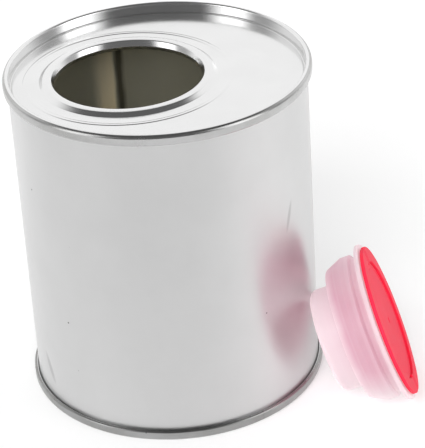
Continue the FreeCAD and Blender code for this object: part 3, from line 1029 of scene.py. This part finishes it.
def milky_polyethylene():
    """Natural low-density polyethylene, waxy and hazy.

    The pink is painted where the red cap would show through at rest, and it stays there when the cap moves. The
    faint glow stands in for light scattered inside the wall, and is painted stronger on the faces turned back
    towards the can, which lie in shade.
    """
    material, nodes, shader, where = new_material("milky_polyethylene")
    along = nodes.along(where, CLOSURE.col[2].xyz)
    flange = CLOSURE.translation.dot(CLOSURE.col[2].xyz)
    ends = (flange + TUBE_END * MM, flange + FLANGE_THICKNESS * MM)
    cloud = nodes.noise(where, scale=120, detail=3.0)
    spread = nodes.maths("ADD", along, nodes.between(cloud, -PINK_RAGGED * MM, PINK_RAGGED * MM))
    share = nodes.between(spread, 0.0, 1.0, *ends)
    behind_cap = nodes.ramp(share, (0.0, 0.0), (0.36, 0.25), (0.52, 1.0), (0.85, 0.9), (0.97, 0.1))
    height = nodes.between(nodes.along(where, (0, 0, 1)), 0.0, 1.0, 0.0, 2 * FLANGE_RADIUS * MM)
    shaded = nodes.ramp(height, (0.18, 0.0), (0.42, 1.0), (0.78, 1.0), (0.98, 0.3))
    rings = nodes.between(nodes.banded(along, MILKY_RING_RATE), 0.55, 1.2)
    tint = nodes.maths("MULTIPLY", rings, nodes.maths("MULTIPLY", behind_cap, shaded))
    nodes.link(nodes.mixed(tint, MILKY, MILKY_PINK), shader.inputs["Base Color"])
    nodes.link(nodes.mixed(tint, MILKY_GLOW, MILKY_PINK_GLOW), shader.inputs["Emission Color"])
    normal = nodes.add("ShaderNodeTexCoord").outputs["Normal"]
    # Painted light: faces turned back towards the can glow more, lighting the closure's shaded back between it and
    # the can.
    end_face = nodes.between(nodes.along(normal, CLOSURE.col[2].xyz), 1.0, 0.0, -0.9, -0.3)
    nodes.link(nodes.between(end_face, 0.24, 0.36), shader.inputs["Emission Strength"])
    nodes.link(nodes.between(nodes.noise(where, scale=260), 0.26, 0.40), shader.inputs["Roughness"])
    shader.inputs["IOR"].default_value = 1.35
    shader.inputs["Transmission Weight"].default_value = 0.4
    shader.inputs["Subsurface Weight"].default_value = 0.8
    shader.inputs["Subsurface Radius"].default_value = (1.0, 0.9, 0.85)
    shader.inputs["Subsurface Scale"].default_value = 0.004
    nodes.link(nodes.bump(nodes.noise(where, scale=500), 10 * MICRON), shader.inputs["Normal"])
    return material


def red_polyethylene():
    """Red moulded polyethylene with a fine matt grain and a faint flow mark or two."""
    material, nodes, shader, where = new_material("red_polyethylene")
    flow = nodes.noise(nodes.stretched(where, (60, 20, 60)), scale=1.0)
    nodes.link(nodes.mixed(flow, *RED), shader.inputs["Base Color"])
    nodes.link(nodes.between(nodes.noise(where, scale=900), 0.42, 0.52), shader.inputs["Roughness"])
    shader.inputs["Subsurface Weight"].default_value = 0.15
    shader.inputs["Subsurface Radius"].default_value = (1.0, 0.2, 0.15)
    shader.inputs["Subsurface Scale"].default_value = 0.002
    shader.inputs["IOR"].default_value = 1.15
    nodes.link(nodes.bump(nodes.noise(where, scale=1500), 8 * MICRON), shader.inputs["Normal"])
    return material


def liner_foam():
    """White expanded polyethylene: a fine closed-cell skin."""
    material, nodes, shader, where = new_material("liner_foam")
    cells = nodes.add("ShaderNodeTexVoronoi")
    cells.inputs["Scale"].default_value = 2200
    nodes.link(where, cells.inputs["Vector"])
    cell = cells.outputs["Distance"]
    nodes.link(nodes.mixed(cell, *FOAM), shader.inputs["Base Color"])
    nodes.link(nodes.between(cell, 0.6, 0.8), shader.inputs["Roughness"])
    nodes.link(nodes.bump(cell, 30 * MICRON), shader.inputs["Normal"])
    return material


def seam_compound():
    """The rubbery sealing compound inside a double seam."""
    material, nodes, shader, where = new_material("seam_compound")
    mottle = nodes.noise(where, scale=400, detail=3.0)
    nodes.link(nodes.mixed(mottle, *COMPOUND), shader.inputs["Base Color"])
    nodes.link(nodes.between(mottle, 0.45, 0.65), shader.inputs["Roughness"])
    nodes.link(nodes.bump(mottle, 20 * MICRON), shader.inputs["Normal"])
    return material


def floor_material():
    """White paper, glowing a little like a lit sweep, and greyer towards the front left.

    The can's front mirrors this gradient, which is what shades it.
    """
    material, nodes, shader, where = new_material("studio_floor")
    lit = nodes.between(nodes.along(where, FLOOR_LIT_TOWARDS), 0.0, 1.0, *FLOOR_SHADE_REACH)
    shade = nodes.maths("ADD", lit, nodes.between(nodes.noise(where, scale=12), -0.03, 0.03))
    nodes.link(nodes.mixed(shade, grey(FLOOR_SHADED), grey(FLOOR_LIT)), shader.inputs["Base Color"])
    glow = nodes.mixed(shade, grey(FLOOR_GLOW_SHADED), grey(FLOOR_GLOW_LIT))
    nodes.link(glow, shader.inputs["Emission Color"])
    shader.inputs["Emission Strength"].default_value = FLOOR_GLOW
    shader.inputs["Roughness"].default_value = 0.9
    shader.inputs["Specular IOR Level"].default_value = 0.1
    return material


def repaint(node, material):
    """Gives a CAD node that stays in view its own material."""
    shown = frame["nodes"][node]
    shown.data.materials.clear()
    shown.data.materials.append(material)
    shown.data.shade_smooth()
    shown.data.set_sharp_from_angle(angle=SHARP_ANGLE)


# ---- Studio ----
def studio_world():
    """A white back wall, grey sides with a tall soft box each, and a dark front and ceiling.

    Places on the wall ramps run from 0 straight behind the object to 1 straight in front of it.
    """
    world = bpy.data.worlds.new("studio")
    SCENE.world = world
    world.use_nodes = True
    nodes = Nodes(world.node_tree)
    background = nodes.add("ShaderNodeBackground")
    output = nodes.add("ShaderNodeOutputWorld")
    nodes.link(background.outputs[0], output.inputs["Surface"])
    x, y, z = nodes.split(nodes.add("ShaderNodeTexCoord").outputs["Generated"])
    squares = [nodes.maths("POWER", side, 2.0) for side in (x, y)]
    across = nodes.maths("SQRT", nodes.maths("ADD", *squares))
    front = nodes.between(nodes.maths("DIVIDE", y, across), 1.0, 0.0, start=-1.0)
    sides = [(0.26, WHITE_WALL), (0.42, SIDE_WALL), (0.56, SIDE_WALL)]
    right = nodes.ramp(front, *sides, (0.64, RIGHT_BOX), (0.80, RIGHT_BOX), (0.90, DARK_FRONT))
    left = nodes.ramp(front, *sides, (0.64, LEFT_BOX), (0.78, LEFT_BOX), (0.88, DARK_FRONT))
    right_half = nodes.maths("GREATER_THAN", x, 0.0)
    walls = nodes.mixed(right_half, left, right)
    ceiling = nodes.ramp(z, (0.66, 0.0), (0.80, 1.0))
    room = nodes.mixed(ceiling, walls, grey(DARK_CEILING))
    nodes.link(room, background.inputs["Color"])
    background.inputs["Strength"].default_value = 1.0


def floor():
    """A plain square of paper under the object."""
    size = FLOOR_HALF_WIDTH
    mesh = bpy.data.meshes.new("studio_floor")
    corners = [(-size, -size, 0.0), (size, -size, 0.0), (size, size, 0.0), (-size, size, 0.0)]
    mesh.from_pydata(corners, [], [(0, 1, 2, 3)])
    ground = bpy.data.objects.new("studio_floor", mesh)
    ground.data.materials.append(floor_material())
    SCENE.collection.objects.link(ground)


def soft_fill(name, location, target, size, power):
    """A large soft lamp that lights matt surfaces and doesn't show in the metal."""
    lamp = bpy.data.lights.new(name, "AREA")
    lamp.shape = "RECTANGLE"
    lamp.size, lamp.size_y = size
    lamp.energy = power
    light = bpy.data.objects.new(name, lamp)
    light.visible_glossy = False
    light.location = location
    light.rotation_euler = (Vector(target) - Vector(location)).to_track_quat("-Z", "Y").to_euler()
    SCENE.collection.objects.link(light)


def camera():
    """Looks down at the can from in front, a little over 60 cm away."""
    lens = bpy.data.cameras.new("camera")
    lens.sensor_width = CAMERA_SENSOR
    lens.lens = CAMERA_LENS
    eye = bpy.data.objects.new("camera", lens)
    eye.location = CAMERA_PLACE
    down = Matrix.Rotation(math.pi / 2 - CAMERA_PITCH, 4, "X")
    eye.rotation_euler = (down @ Matrix.Rotation(CAMERA_ROLL, 4, "Z")).to_euler()
    SCENE.collection.objects.link(eye)
    SCENE.camera = eye


# ---- The whole object ----
def build():
    """Every piece of the can and its closure, each with its material."""
    body_tin = tinplate("tinplate_body", (0.30, 0.35), BODY_TIN, brushed=0.5, dented=True)
    end_tin = tinplate("tinplate_ends", (0.14, 0.20), END_TIN)
    top_seam_tin = tinplate("tinplate_top_seam", (0.18, 0.32), TOP_SEAM_TIN)
    foot_seam_tin = tinplate("tinplate_foot_seam", (0.22, 0.36), FOOT_SEAM_TIN)
    lacquer = gold_lacquer("gold_lacquer_ends")
    can_body(body_tin, gold_lacquer("gold_lacquer_body", striped=True), side_stripe(), weld_metal())
    top_end(end_tin, lacquer, top_seam_tin)
    bottom_end(end_tin, lacquer, foot_seam_tin)
    milky = milky_polyethylene()
    spout_shell(milky)
    spout_bellows(milky)
    red = red_polyethylene()
    screw_cap(red)
    cap_bail(-1, "left", red)
    cap_bail(1, "right", red)
    for node in ("spout_neck", "neck_seal"):
        repaint(node, milky)
    repaint("cap_liner", liner_foam())
    compound = seam_compound()
    for node in ("top_seam_compound", "bottom_seam_compound"):
        repaint(node, compound)


build()
studio_world()
floor()
soft_fill("front_fill", FILL_PLACE, FILL_TARGET, FILL_SIZE, FILL_POWER)
camera()
